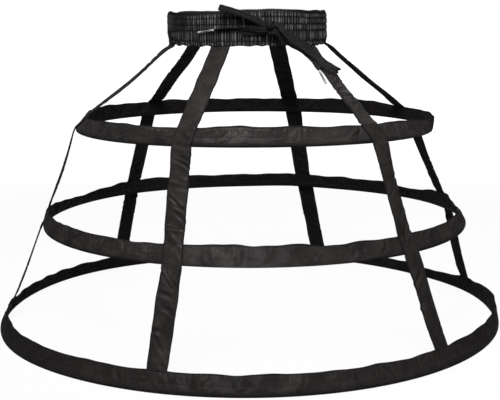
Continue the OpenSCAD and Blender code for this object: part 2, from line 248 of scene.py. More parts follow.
HEM = Hoop(
    "hem", stops=(5, 5), lean=27,
    twists=[(80, 15, -34), (108, 8, 12), (262, 14, -3)],
    lifts=[(86, 20, 3.2), (142, 20, 1.4), (222, 26, 3)],
    outs=[(290, 20, 3), (64, 14, 2.5), (0, 60, 1.2)],
    grows=[(346, 60, 1.8), (44, 10, 1.5), (138, 18, -2.5)])
MID = Hoop(
    "mid", stops=(3, 4), lean=27,
    twists=[(109, 9, 16), (93, 7, -22), (78, 8, 10), (238, 15, 18), (200, 11, -8), (268, 12, -14)],
    lifts=[(350, 26, -5.4), (100, 20, 1.2), (157, 10, 1.4), (212, 20, 1.2)],
    outs=[(79, 14, 2)],
    grows=[(348, 20, 7.4), (268, 12, 0.5)])
TOP = Hoop(
    "top", stops=(1, 2), lean=17,
    twists=[(270, 20, 27), (72, 16, -24), (178, 28, 10), (222, 10, 6)],
    lifts=[(349, 30, 1.0), (73, 20, -13.5), (104, 9, -4), (158, 9, -1.3)],
    outs=[(72, 18, -3)],
    grows=[(350, 13, 1.4), (326, 8, -1.5), (15, 9, -1.6), (76, 14, 7)])

steel_w = 8 * mm
steel_t = 1 * mm
steel_low = -1.35 * mm
steel_gap = 1 * mm
steel_steps = 240
joiner_l = 36 * mm
joiner_wall = 0.5 * mm
joiner_fit = 0.1 * mm
joiner_steps = 9


def rectangle(half_w, low, high):
    """A closed rectangle of (x, y) in a casing's section."""
    return np.array([(-half_w, low), (half_w, low), (half_w, high), (-half_w, high), (-half_w, low)])


def bent_strip(name, hoop, loops, turns, material, slot, node):
    """A strip or a sleeve bent round a hoop: loops of its section, each at its own angle round the hoop."""
    x, y = np.moveaxis(np.array(loops), 2, 0)
    turn = np.array(turns)[:, None] + 0 * x
    places = hoop.place(turn, *hoop.section(turn, x, y))
    strip = cloth(name, places, np.arange(places.shape[1]) * mm, np.array(turns) * hoop.fold, ring=True)
    bpy.ops.object.shade_flat()
    belongs(strip, material, slot, node)


steel_finish = spring_steel()
brass_finish = crimp_brass()
for hoop in (HEM, MID, TOP):
    body = rectangle(steel_t / 2, steel_low, steel_low + steel_w)
    end = 0 * body + body[:4].mean(0)
    reach = math.pi - steel_gap / hoop.fold
    ring = np.linspace(-reach, reach, steel_steps)
    bent_strip(
        "hoop_steel_" + hoop.name, hoop, [end] + [body] * len(ring) + [end], [-reach, *ring, reach],
        steel_finish, "spring_steel", "steel_" + hoop.name)
    bore = rectangle(steel_t / 2 + joiner_fit, steel_low - joiner_fit, steel_low + steel_w + joiner_fit)
    far = joiner_fit + joiner_wall
    skin = rectangle(steel_t / 2 + far, steel_low - far, steel_low + steel_w + far)
    sleeve = math.pi + np.linspace(-1, 1, joiner_steps) * joiner_l / 2 / hoop.fold
    bent_strip(
        "crimped_joiner_" + hoop.name, hoop, [skin] * joiner_steps + [bore] * joiner_steps + [skin],
        [*sleeve, *sleeve[::-1], sleeve[0]], brass_finish, "crimp_metal", "joiner_" + hoop.name)


# Casings.
# Black satin-faced polyester tape, folded lengthwise over each hoop with its long edges turned in.
# A row of stitching along the top closes it, and a second row keeps the steel down in the bottom fold.
tape_t = 0.5 * mm
tuck = 2.4 * mm
roll_centre = 2.5 * mm
roll_height = roll_centre + fold_r
lip_y = rise + 0.7 * mm
seam_y = rise - 1.6 * mm
channel_y = 7.6 * mm
column_step = 2 * mm
closed_gap = 0.05 * mm
strap_room = 0.9 * mm
lip_ease = 9 * mm
crease_ease = 16 * mm
wall_rows = 15
crown_rows = 6
tuck_rows = 3
roll_rows = 15
crease_pitch = 8 * mm
casing_dent = -0.7 * mm
casing_swell = 2 * mm
seam_sink = 0.35 * mm
strap_w = 26 * mm

# Angles of the straps from the centre front: at the waist, at the upper and lower edges of the top casing
# and of the middle casing, and at the hem
STRAPS = {
    "front_right": (48, 23.7, 26.4, 28.7, 28.8, 32.9),
    "side_right": (88, 104.2, 99.6, 95.4, 92.5, 94.2),
    "back_right": (141, 155, 153.9, 151.9, 151.6, 147.9),
    "back_left": (221.5, 209.3, 210.9, 211.5, 211.2, 209),
    "side_left": (277, 268, 268, 262, 262, 261),
    "front_left": (326.2, 329.2, 328.1, 329.3, 329.8, 330.7),
}


def waves(turn, level, rng, length, shortest, longest, slant=0.0, count=14):
    """Smooth random swells of about unit height round a ring, between two wavelengths in metres."""
    total = 0
    for n in range(count):
        laps = rng.integers(math.ceil(length / longest), math.ceil(length / shortest) + 1)
        total = total + np.cos(laps * turn + rng.uniform(-slant, slant) * level + rng.uniform(0, 2 * math.pi))
    return total * math.sqrt(2 / count)


def creased(along, level, marks, lap=None):
    """Height of cloth with creases given as (place, level, slant, half length, half width, depth)."""
    height = np.zeros(np.broadcast(along, level).shape)
    for place, middle, slant, reach, width, depth in marks:
        gap = along - place
        if lap:
            gap = (gap + lap / 2) % lap - lap / 2
        near = np.abs(gap[0]) < reach + 3 * width
        gap = gap[:, near]
        up = np.broadcast_to(level, height.shape)[:, near] - middle
        run = (gap * math.cos(slant) + up * math.sin(slant)) / reach
        off = (up * math.cos(slant) - gap * math.sin(slant)) / width
        height[:, near] -= depth * (1 - off**2) * np.exp(-(off**2) / 2 - run**4)
    return height


def smooth_step(value, start, end):
    t = np.clip((value - start) / (end - start), 0, 1)
    return t * t * (3 - 2 * t)


def near_strap(turn, hoop, spread):
    """1 under a strap and 0 away from it, round a hoop, with an edge as soft as the spread."""
    at = [math.radians((angles[hoop.stops[0]] + angles[hoop.stops[1]]) / 2) for angles in STRAPS.values()]
    gaps = [np.abs((turn - a + math.pi) % (2 * math.pi) - math.pi) for a in at]
    return 1 - smooth_step(np.min(gaps, axis=0) * hoop.fold, strap_w / 2, strap_w / 2 + spread)


def facing(places):
    """Unit normals of a grid of places."""
    normal = np.cross(np.gradient(places, axis=1), np.gradient(places, axis=0))
    return normal / np.linalg.norm(normal, axis=2, keepdims=True)


def lengths(places):
    """Distance along a line of places, from its start."""
    return np.concatenate([[0], np.cumsum(np.linalg.norm(np.diff(places, axis=0), axis=1))])


def between(spots, travel, values):
    """Rows of values, given along a line, at other spots on it."""
    return np.stack([np.interp(spots, travel, values[:, k]) for k in range(values.shape[1])], axis=1)


def unit(vectors):
    return vectors / np.linalg.norm(vectors, axis=-1, keepdims=True)


stitch_l = 2.5 * mm
stitch_pitch = 3.1 * mm
stitch_w = 0.5 * mm
stitch_h = 0.36 * mm


def sew(name, seams):
    """Rows of single thread stitches, copied from one, along seams given as (points, normals)."""
    bpy.ops.object.select_all(action="DESELECT")
    bpy.ops.mesh.primitive_uv_sphere_add(segments=4, ring_count=3, radius=0.5, rotation=(0, math.pi / 2, 0))
    bpy.ops.object.transform_apply(location=False, rotation=True, scale=False)
    thread = bpy.context.object
    stitch = np.array([v.co for v in thread.data.vertices]) * (stitch_l, stitch_w, stitch_h)
    faces = [tuple(p.vertices) for p in thread.data.polygons]
    places = []
    for points, normals in seams:
        travel = lengths(points)
        count = int(travel[-1] / stitch_pitch)
        middles = (np.arange(count) + 0.5) * travel[-1] / count
        ahead = between(middles + stitch_l / 2, travel, points)
        behind = between(middles - stitch_l / 2, travel, points)
        way = unit(ahead - behind)
        up = between(middles, travel, normals)
        up = unit(up - way * (up * way).sum(1, keepdims=True))
        axes = np.stack([way, np.cross(up, way), up], axis=1)
        here = between(middles, travel, points)
        places.append((here[:, None] + np.einsum("vk,nkx->nvx", stitch, axes)).reshape(-1, 3))
    places = np.concatenate(places)
    copies = len(places) // len(stitch)
    row = bpy.data.meshes.new(name)
    all_faces = [tuple(v + k * len(stitch) for v in f) for k in range(copies) for f in faces]
    row.from_pydata(places.tolist(), [], all_faces)
    thread.data = row
    thread.name = name
    bpy.ops.object.shade_smooth()
    return thread


def satin_tape():
    finish = Finish("satin_tape", {"Specular IOR Level": 0.12, "Coat Roughness": 0.42})
    flat, along, across = finish.cut()
    satin_side_and_painted_shade = finish.stored("satin_side_and_painted_shade")
    weave = along.sine(0.55 * mm) * across.sine(0.7 * mm)
    slub = finish.grain(0.5 * mm, stretch=(26, 1, 1), places=flat)
    bloom = finish.grain(24 * mm, detail=3)
    rub = finish.grain(5 * mm, detail=3)
    tone = (bloom - 0.5) * 1.6 + (slub - 0.5) * 0.5 + 0.5
    satin = tone.blend(shade(0.006, 0.18), shade(0.031, 0.18))
    # The stored mask gives the satin face its colour and coat, and the dull wrong side where it is 0; on the
    # casings and at the straps' edges it also carries painted shade and painted sheen.
    finish.link("Base Color", satin_side_and_painted_shade.blend(shade(0.009, 0.18), satin))
    finish.link("Coat Weight", satin_side_and_painted_shade * (bloom * 0.14 + 0.05))
    finish.link("Roughness", rub * 0.18 + slub * 0.1 + 0.45)
    finish.raised(weave * 0.5 + slub * 0.8 + rub * 3, 0.25 * mm)
    return finish.material


def sewing_thread():
    finish = Finish("sewing_thread", {"Roughness": 0.5})
    ply = finish.grain(0.25 * mm, detail=1)
    finish.link("Base Color", ply.blend(shade(0.008), shade(0.035)))
    finish.raised(ply, 0.05 * mm)
    return finish.material


tape_finish = satin_tape()
thread_finish = sewing_thread()


def casing_section(hoop, turn, holds_straps):
    """Rows of x and y across a casing, from its inner turned-in edge round the fold to the outer one.

    With them come the rows of its inner wall, of its bottom roll and of its outer wall.
    """
    filled = near_strap(turn, hoop, lip_ease) if holds_straps else 0 * turn
    middle = 0 * turn + (0 if holds_straps else edge_r - tape_t)
    lip = tape_t + filled * (edge_r - tape_t)
    gap = filled * strap_room + closed_gap
    up = np.linspace(0, 1, wall_rows + 2)[1:-1, None]
    arc = np.linspace(0, math.pi, crown_rows)[:, None]
    inward = np.linspace(0, 1, tuck_rows + 1)[1:, None]
    ellipse = np.linspace(math.pi, 2 * math.pi, roll_rows)[:, None]
    wall_y = roll_centre + up * (lip_y - roll_centre) + 0 * turn
    crown_x = (lip - gap) / 2 * np.cos(arc)
    crown_y = lip_y + (lip - gap) / 2 * np.sin(arc)
    tuck_y = lip_y - inward * tuck + 0 * turn
    stretches = [
        ((middle - gap + 0 * inward)[::-1], tuck_y[::-1]),
        (middle - (lip + gap) / 2 + crown_x, crown_y),
        ((-fold_r + up * (middle - lip + fold_r))[::-1], wall_y[::-1]),
        (fold_r * np.cos(ellipse) + 0 * turn, roll_centre + roll_height * np.sin(ellipse) + 0 * turn),
        (fold_r + up * (middle + lip - fold_r), wall_y),
        (middle + (lip + gap) / 2 + crown_x, crown_y),
        (middle + gap + 0 * inward, tuck_y),
    ]
    x, y = (np.concatenate(rows) for rows in zip(*stretches))
    ends = np.cumsum([len(stretch_x) for stretch_x, stretch_y in stretches])
    inner, roll, outer = np.split(np.arange(len(x)), ends)[2:5]
    return x, y, inner, roll, outer


def casing(hoop, seed, holds_straps, painted_sheen_level, painted_glints):
    """A tape casing round its hoop, creased where no strap lies on it.

    The painted sheen level sets how bright the satin side is painted on each casing, and the painted glints
    are humps of painted light and shade round the hoop.
    """
    rng = np.random.default_rng(seed)
    girth = 2 * math.pi * hoop.fold
    columns = round(girth / column_step)
    turn = np.linspace(-math.pi, math.pi, columns + 1)[None]
    x, y, inner, roll, outer = casing_section(hoop, turn, holds_straps)
    free = 1 + 0 * turn if holds_straps else 1 - near_strap(turn, hoop, crease_ease)

    ease = waves(turn, 0, rng, girth, 70 * mm, 260 * mm) * 0.45
    ease = ease + waves(turn, 0, rng, girth, 26 * mm, 60 * mm) * 0.14
    flutter = free * (waves(turn, 0, rng, girth, 40 * mm, 120 * mm) * 0.7 * mm)
    top = smooth_step(y, 6 * mm, lip_y)
    along = turn * hoop.fold
    for part, way, open_cloth in ((outer, 1, free), (inner, -1, 1 + 0 * turn)):
        part_y = y[part]
        marks = [
            (rng.uniform(0, girth), rng.uniform(4, 21) * mm, rng.uniform(0.5, 2.3), rng.uniform(4, 12) * mm,
             rng.uniform(1.5, 3.4) * mm, rng.uniform(-0.9, 1.4) * mm)
            for n in range(round(girth / crease_pitch))]
        body = waves(turn, part_y, rng, girth, 22 * mm, 90 * mm, slant=90) * 0.5 * mm
        body = body + creased(along + 0 * part_y, part_y, marks, lap=girth)
        pucker = waves(turn, part_y, rng, girth, 5 * mm, 11 * mm) * 0.3 * mm
        pucker = pucker * np.exp(-(((part_y - seam_y) / (6 * mm)) ** 2))
        sink = sum(seam_sink * np.exp(-(((part_y - row) / (0.7 * mm)) ** 2)) for row in (seam_y, channel_y))
        loose = smooth_step(part_y, 1 * mm, 6 * mm) * (1 - 0.7 * smooth_step(part_y, 15 * mm, seam_y))
        x[part] += way * open_cloth * (np.clip(body, casing_dent, casing_swell) * loose + pucker) - way * sink
    x += flutter * top
    y += np.clip(ease, -1.6, 1.1) * mm * top

    places = hoop.place(turn, *hoop.section(turn, x, y))
    across = lengths(places[:, columns // 2])
    # Painted light: each casing's satin is painted brighter or darker as a whole and in humps round the hoop.
    satin = painted_sheen_level + strays(turn, painted_glints)
    # Painted shade: the satin is painted darker towards the bottom fold and the top lip, and the inner wall
    # and the inner half of the roll are painted as the dark wrong side, though the satin face is outward
    # there too.
    satin_side_and_painted_shade = satin * smooth_step(y, -3 * mm, 2 * mm) * (1 - smooth_step(y, seam_y, lip_y))
    satin_side_and_painted_shade = satin_side_and_painted_shade * (np.arange(len(x))[:, None] > roll[len(roll) // 2])
    sheet = cloth("tape_casing_" + hoop.name, places, along[0], across, {"satin_side_and_painted_shade": satin_side_and_painted_shade}, ring=True)
    seams = [
        np.argmin(np.abs(y[part].mean(1) - row)) + part[0]
        for part in (outer, inner) for row in (seam_y, channel_y)]
    normals = facing(places)
    thread = sew("stitching_casing_" + hoop.name, [(places[r], normals[r]) for r in seams])
    belongs(sheet, tape_finish, "tape", "casing_" + hoop.name)
    belongs(thread, thread_finish, "tape")


# Painted light and shade: the hem is painted darkest and duller towards its two sides, the middle casing
# brighter on its left side, and the top casing glossier towards its two sides.
casing(HEM, 11, holds_straps=True, painted_sheen_level=0.8, painted_glints=[(283, 32, -0.68), (57, 34, -0.74)])
casing(MID, 12, holds_straps=False, painted_sheen_level=0.95, painted_glints=[(295, 25, 1.2)])
casing(TOP, 13, holds_straps=False, painted_sheen_level=1.15, painted_glints=[(298, 28, 3), (35, 25, 3)])


# Waist elastic.
# A wide ring of black woven elastic, its ends lapped and sewn, that lies against the band's inner cloth.
# It draws the band in, and nothing of it shows once the band is closed over it.
def woven_elastic():
    finish = Finish("woven_elastic", {})
    rib = finish.grain(0.5 * mm, detail=1, stretch=(40, 40, 1))
    cord = finish.grain(1.1 * mm, detail=2, stretch=(1, 1, 30))
    finish.link("Base Color", rib.blend(shade(0.012), shade(0.03)))
    finish.link("Roughness", cord * 0.2 + 0.6)
    finish.raised(rib + cord * 0.6, 0.25 * mm)
    return finish.material


dress(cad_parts["waist_elastic"], woven_elastic())


# Straps.
# Flat black tape, sewn near both edges, caught up inside the waistband and let hang.
# Each is laid over the top and middle casings, sewn to them, and its end is sewn down into the hem casing.
waist_w = 208 * mm
waist_d = 166 * mm
band_z = 383 * mm
strap_n = 3.85 * mm
strap_lift = 0.9 * mm
strap_half_t = 0.6 * mm
tuck_top = 12 * mm
tuck_hem = 9 * mm
turn_under = 1.3 * mm
strap_spring = 2 * mm
spring_l = 7 * mm
hold_l = 7 * mm
twist_l = 24 * mm
soft_l = 12 * mm
soft_rounds = 6
strap_step = 1.5 * mm
strap_creases = 64
side_creasing = 0.45
cross_stitch = 5 * mm
edge_stitch = 10.7 * mm
half_u = np.array([0, 1.8, 3.6, 5.4, 7.1, 8.7, 10, 10.7, 11.4, 12.2, 12.65, 12.85]) * mm
strap_u = np.concatenate([-half_u[:0:-1], half_u])

# Turns of the straps' faces in degrees, above the top hoop, between the upper hoops and above the hem
TWISTS = {
    "front_right": (4, 7, -1),
    "side_right": (1, 2, 5),
    "back_right": (2, 0, 0),
    "back_left": (0, 0, 0),
    "side_left": (-2, 4, 5),
    "front_left": (4, 4, 15),
}


def drawn_up(t):
    """How far the side straps' pull lifts the band's lower edge, at the oval's own angle."""
    return strays(t, [(-88, 24, 2.6), (-108, 13, 3), (86, 13, 5.2)]) * mm


def waist_angle(azimuth):
    """The oval's own angle at an angle in degrees from the centre front."""
    a = math.radians(azimuth)
    return math.atan2(waist_d * math.sin(a), waist_w * math.cos(a))


def waist_normal(t):
    return unit(np.stack([waist_d * np.sin(t), -waist_w * np.cos(t)], axis=-1))


def waist_point(t, n):
    """A place round the waist, at the oval's own angle and a distance out from the waist opening."""
    oval = np.stack([waist_w / 2 * np.sin(t), -waist_d / 2 * np.cos(t)], axis=-1)
    return oval + np.asarray(n)[..., None] * waist_normal(t)


def looks(start, end):
    """The way that a taut tape's outer face looks between two rounds, given as (radius, height, size)."""
    run, fall = end[0] - start[0], end[1] - start[1]
    return math.atan2(fall, run) + math.acos((start[2] - end[2]) / math.hypot(run, fall))


def strap_stations(angles):
    """Places down a strap's middle, the ways of its width, its bends across, and the hoop each lies on."""
    t = waist_angle(angles[0])
    foot = waist_point(t, strap_n)
    out = waist_normal(t)
    a, b = waist_w / 2 + strap_n, waist_d / 2 + strap_n
    waist_bend = a * b / math.hypot(a * math.cos(t), b * math.sin(t)) ** 3
    stations = [
        (np.append(foot, band_z + z), (-out[1], out[0], 0), waist_bend, 0)
        for z in (tuck_top, drawn_up(t) + turn_under, drawn_up(t) - turn_under)]
    rounds = [(math.hypot(*foot), band_z + drawn_up(t) - turn_under, 0)]
    for hoop in (TOP, MID):
        for stop, y, size in zip(hoop.stops, (rise, 0), (edge_r, fold_r)):
            turn = math.radians(angles[stop])
            radius, height = hoop.section(turn, 0, y)
            rounds.append((radius + hoop.sway * math.sin(turn), height, size + strap_lift))
    hem_turn = math.radians(angles[-1])
    mouth = HEM.section(hem_turn, 0, rise + edge_r + turn_under)
    rounds.append((*mouth, 0))
    faces = [looks(start, end) for start, end in zip(rounds, rounds[1:])]
    for hoop, k in ((TOP, 1), (TOP, 2), (MID, 3), (MID, 4)):
        radius, height, size = rounds[k]
        turn = math.radians(angles[k])
        if faces[k - 1] > faces[k]:
            ways = np.linspace(faces[k - 1], faces[k], 7)
        else:
            ways = [(faces[k - 1] + faces[k]) / 2]
            size /= math.cos((faces[k] - faces[k - 1]) / 2)
        for way in ways:
            r = radius + size * math.cos(way) - hoop.sway * math.sin(turn)
            place = hoop.place(turn, r, height + size * math.sin(way))
            stations.append((place, (math.cos(turn), math.sin(turn), 0), 1 / hoop.fold, hoop.stops[0]))
    for up in (rise + edge_r + turn_under, rise - tuck_hem):
        place = HEM.place(hem_turn, *HEM.section(hem_turn, 0, up))
        stations.append((place, (math.cos(hem_turn), math.sin(hem_turn), 0), 1 / HEM.fold, HEM.stops[0]))
    return [np.array(kind, float) for kind in zip(*stations)]


def strap_lie(side):
    """How a strap lies, apart from its creases: its line, axes, bend across and share of freedom along it.

    With them come the two stretches that lie on the top and middle casings.
    """
    stops, widths, bends, owners = strap_stations(STRAPS[side])
    travel = lengths(stops)
    length = travel[-1]
    along = np.linspace(0, length, round(length / strap_step))
    middle = between(along, travel, stops)
    soft = middle.copy()
    for n in range(soft_rounds):
        soft[1:-1] = (soft[:-2] + 2 * soft[1:-1] + soft[2:]) / 4
    at_waist = 1 - smooth_step(along, tuck_top + soft_l, tuck_top + 2 * soft_l)[:, None]
    middle += (soft - middle) * at_waist
    spring = smooth_step(along, tuck_top, tuck_top + spring_l)
    spring -= smooth_step(along, tuck_top + spring_l, travel[owners > 0][0])
    middle[:, :2] += waist_normal(waist_angle(STRAPS[side][0])) * (strap_spring * spring)[:, None]
    breadth = unit(between(along, travel, widths))
    face = unit(np.cross(np.gradient(middle, axis=0), breadth))
    bend = np.interp(along, travel, bends)
    crossings = [travel[owners == hoop.stops[0]][[0, -1]] for hoop in (TOP, MID)]
    held = np.zeros_like(along)
    for first, last in crossings:
        held += smooth_step(along, first - hold_l, first) - smooth_step(along, last, last + hold_l)
    edges = [tuck_top, *crossings[0], *crossings[1], length - tuck_hem]
    twist = np.zeros_like(along)
    for start, end, degrees in zip(edges[::2], edges[1::2], TWISTS[side]):
        ease = smooth_step(along, start, start + twist_l) - smooth_step(along, end - twist_l, end)
        twist += math.radians(degrees) * ease
    cos, sin = np.cos(twist)[:, None], np.sin(twist)[:, None]
    breadth, face = breadth * cos - face * sin, face * cos + breadth * sin
    inside = 1 - smooth_step(along, tuck_top, tuck_top + 15 * mm)
    inside += smooth_step(along, length - 26 * mm, length - 12 * mm)
    free = np.clip(1 - held - inside, 0, 1)
    return along, middle, breadth, face, bend, free, crossings


def strap(side, seed):
    """A strap with both its faces, creased where it is free and flat where it lies on a casing."""
    rng = np.random.default_rng(seed)
    along, middle, breadth, face, bend, free, crossings = strap_lie(side)
    length = along[-1]
    u = strap_u[:, None]
    lean = 1 if side.endswith("left") else -1
    marks = [
        (rng.uniform(0.03, 0.98) * length, rng.uniform(-11, 11) * mm, lean * rng.uniform(0.4, 1.5),
         rng.uniform(5, 14) * mm, rng.uniform(1.4, 3.2) * mm, rng.uniform(-0.8, 1.7) * mm)
        for n in range(strap_creases)]
    crease = creased(along[None] + 0 * u, u + 0 * along, marks)
    if side.startswith("side"):
        crease = crease * side_creasing
    sway = sum(
        rng.uniform(0.2, 0.5) * mm
        * np.cos(along / (rng.uniform(9, 30) * mm) + u / (12 * mm) * rng.uniform(-1, 1))
        for n in range(4))
    lift = np.clip(crease, -1.5 * mm, 1.9 * mm) * (0.6 + 0.4 * free) + sway * free
    lift = np.maximum(lift, -0.12 * mm - 3 * mm * free)
    wobble = sum(
        rng.uniform(0.1, 0.22) * mm * np.sin(along / (rng.uniform(5, 26) * mm) + n)
        for n in range(4))
    lip = np.clip((np.abs(u) - 12.3 * mm) / (0.65 * mm), 0, 0.9)
    groove = 0.22 * mm * np.exp(-(((np.abs(u) - edge_stitch) / (0.4 * mm)) ** 2))
    half = strap_half_t * np.sqrt(1 - lip**2) - groove
    flat = u + np.sign(u) * smooth_step(np.abs(u), 8 * mm, 12 * mm) * wobble * free
    curl = 0.8 * mm * smooth_step(np.abs(u), 7.5 * mm, 13.5 * mm) * free
    sheet_at = middle[None] + breadth[None] * flat[..., None]
    dip = lift - curl - u**2 * bend / 2
    outer = sheet_at + face[None] * (dip + half)[..., None]
    inner = sheet_at + face[None] * (dip - half)[..., None]
    places = np.concatenate([outer, inner[::-1], outer[:1]])
    # Painted shade: the satin face is painted darker over its outer few millimetres to each edge; the inner
    # face is the tape's dull wrong side.
    satin = 1 - 0.9 * smooth_step(np.abs(u), 9.5 * mm, 12.4 * mm) + 0 * along
    satin_side_and_painted_shade = np.concatenate([satin, 0 * satin, satin[:1]])
    across = lengths(places[:, len(along) // 2])
    sheet = cloth("strap_tape_" + side, places, along, across, {"satin_side_and_painted_shade": satin_side_and_painted_shade}, ring=True)

    normals = facing(places)
    count = len(strap_u)
    rows = [k for k in range(2 * count) if abs(abs(np.tile(strap_u, 2)[k]) - edge_stitch) < 0.01 * mm]
    seams = [(places[k], normals[k]) for k in rows]
    for first, last in crossings:
        for spot in (first + cross_stitch, last - cross_stitch):
            k = np.argmin(np.abs(along - spot))
            seams.append((places[2:count - 2, k], normals[2:count - 2, k]))
    thread = sew("stitching_strap_" + side, seams)
    belongs(sheet, tape_finish, "tape", "strap_" + side)
    belongs(thread, thread_finish, "tape")


for seed, side in enumerate(STRAPS):
    strap(side, 20 + seed)


# Drawstring in the band.
# A flat black lace, braided on a machine, threaded round inside the band between the elastic and the cloth.
# Its ends come out through the two buttonholes at the centre front.
def braided_lace():
    finish = Finish("braided_lace", {"Specular IOR Level": 0.2})
    along, across = finish.cut()[1:]
    braid = (along + across).sine(1.7 * mm) * (along - across).sine(1.7 * mm)
    fuzz = finish.grain(0.3 * mm, detail=3)
    wear = finish.grain(9 * mm, detail=3)
    rib = across.sine(2.1 * mm)
    tone = braid * 0.2 + rib * 0.35 + fuzz * 0.4 + wear * 0.3
    finish.link("Base Color", tone.blend(shade(0.002), shade(0.02, 0.05)))
    finish.link("Roughness", fuzz * 0.2 + 0.45)
    finish.raised(braid * 0.6 + rib + fuzz * 0.6, 0.3 * mm)
    return finish.material


lace_finish = braided_lace()
dress(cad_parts["drawstring_in_band"], lace_finish)


# Waistband.
# A doubled band of thin black cloth, shirred over the elastic by four rows of stitching below a top roll.
# Its lower edges are turned under and close over the straps' ends, and two buttonholes let the lace out.
gathers = 186
wide_gathers = 60
per_gather = 6
band_h = 46 * mm
valley = 5.9 * mm
row_puff = 0.25 * mm
inner_n = 0.5 * mm
mean_n = 7 * mm
roll_lift = 0.64 * mm
pinch_n = 3.4 * mm
least_n = 2.7 * mm
take_up = 1.12
fold_slant = 250
lace_z = 401 * mm
hole_x = 24 * mm
hole_n = 9 * mm
hole_half_w = 1.3 * mm
hole_half_h = 4.5 * mm
hole_reach = 4 * mm
hole_t = math.asin(hole_x / (waist_w / 2 + hole_n))
welt_n = valley + 1.9 * mm
welt_size = (2.0 * mm, 5.2 * mm, 2.6 * mm)

# Shirred zones from the lower edge up, as (bottom, top, gather depth, rows)
ZONES = [
    (0, 5.5 * mm, 1.3 * mm, 6),
    (5.5 * mm, 19.5 * mm, 2.0 * mm, 14),
    (19.5 * mm, 27.5 * mm, 1.7 * mm, 10),
    (27.5 * mm, 36.5 * mm, 1.7 * mm, 10),
    (36.5 * mm, 42.5 * mm, 1.1 * mm, 7),
]

# Rows of the turned-in edges, as (inset, height), of the lining, as heights, and of its foot, as (height,
# share of the way out to the edge), in millimetres
OUTER_EDGE = [(-0.5, 3), (-0.5, 1.1), (-0.42, 0.3), (-0.2, 0.06)]
LINING = [38, 31, 24, 17, 10, 7.2]
LINING_FOOT = [(5, 0.25), (2.5, 0.6), (0.8, 0.93), (0, 1)]
INNER_EDGE = [(0.2, 0.06), (0.36, 0.4), (0.4, 1.5), (0.4, 3)]


def shirring():
    finish = Finish("shirred_cloth", {"Specular IOR Level": 0.15})
    flat, along, across = finish.cut()
    crest = finish.stored("crest")
    patch = finish.grain(13 * mm, detail=2)
    slub = finish.grain(0.5 * mm, detail=2, stretch=(1, 14, 1), places=flat)
    weave = along.sine(0.5 * mm) * across.sine(0.5 * mm)
    spare = patch.math("SMOOTH_MIN", patch * 1.9, 1.0, 0.2)
    # The colour is painted light: the gathers' crests are painted pale as highlights, and the valleys and the
    # turned edges are left near black as shade.
    light = crest.math("POWER", crest, 3.0) * spare
    finish.link("Base Color", light.blend(shade(0.002), shade(0.25, -0.08)))
    finish.link("Roughness", slub * 0.25 + 0.4)
    finish.raised(weave * 0.4 + slub, 0.12 * mm)
    return finish.material


def gather_phase(t, count, rng, girth):
    """Where each place round the band lies in gathers of uneven width, with half a turn to each."""
    return (t + math.pi) * count / 2 + waves(t, 0, rng, girth, 9 * mm, 45 * mm) * 0.55


def gathered(phase, talls):
    """Gathers from 0 in a valley to their own heights on their crests."""
    return np.abs(np.sin(phase)) ** 1.3 * talls[np.floor(phase / math.pi).astype(int) % len(talls)]


def cut_buttonholes(sheet):
    """Takes away the band's outer cloth where the lace comes out."""
    middles = np.array([p.center for p in sheet.data.polygons])
    cut = np.zeros(len(middles), bool)
    for t in (-hole_t, hole_t):
        out = waist_normal(t)
        off = middles - np.append(waist_point(t, valley), lace_z)
        sideways = off[:, 0] * -out[1] + off[:, 1] * out[0]
        outwards = off[:, 0] * out[0] + off[:, 1] * out[1]
        inside = (np.abs(sideways) < hole_half_w) & (np.abs(off[:, 2]) < hole_half_h)
        cut |= inside & (np.abs(outwards) < hole_reach)
    bpy.ops.object.mode_set(mode="EDIT")
    bpy.ops.mesh.select_mode(type="FACE")
    bpy.ops.mesh.select_all(action="DESELECT")
    bpy.ops.object.mode_set(mode="OBJECT")
    sheet.data.polygons.foreach_set("select", cut)
    bpy.ops.object.mode_set(mode="EDIT")
    bpy.ops.mesh.delete(type="FACE")
    bpy.ops.object.mode_set(mode="OBJECT")


def buttonhole(side, t):
    """The worked edge of a buttonhole, a ring of thread round the slit."""
    out = waist_normal(t)
    spot = np.append(waist_point(t, welt_n), lace_z)
    bpy.ops.object.select_all(action="DESELECT")
    bpy.ops.mesh.primitive_torus_add(
        major_segments=48, minor_segments=10, major_radius=1, minor_radius=0.3, location=spot,
        rotation=(math.pi / 2, 0, math.atan2(out[1], out[0]) + math.pi / 2))
    welt = bpy.context.object
    welt.name = "buttonhole_" + side
    welt.scale = welt_size
    bpy.ops.object.transform_apply(location=True, rotation=True, scale=True)
    bpy.ops.object.shade_smooth()
    belongs(welt, thread_finish, "band_cloth")
    return welt


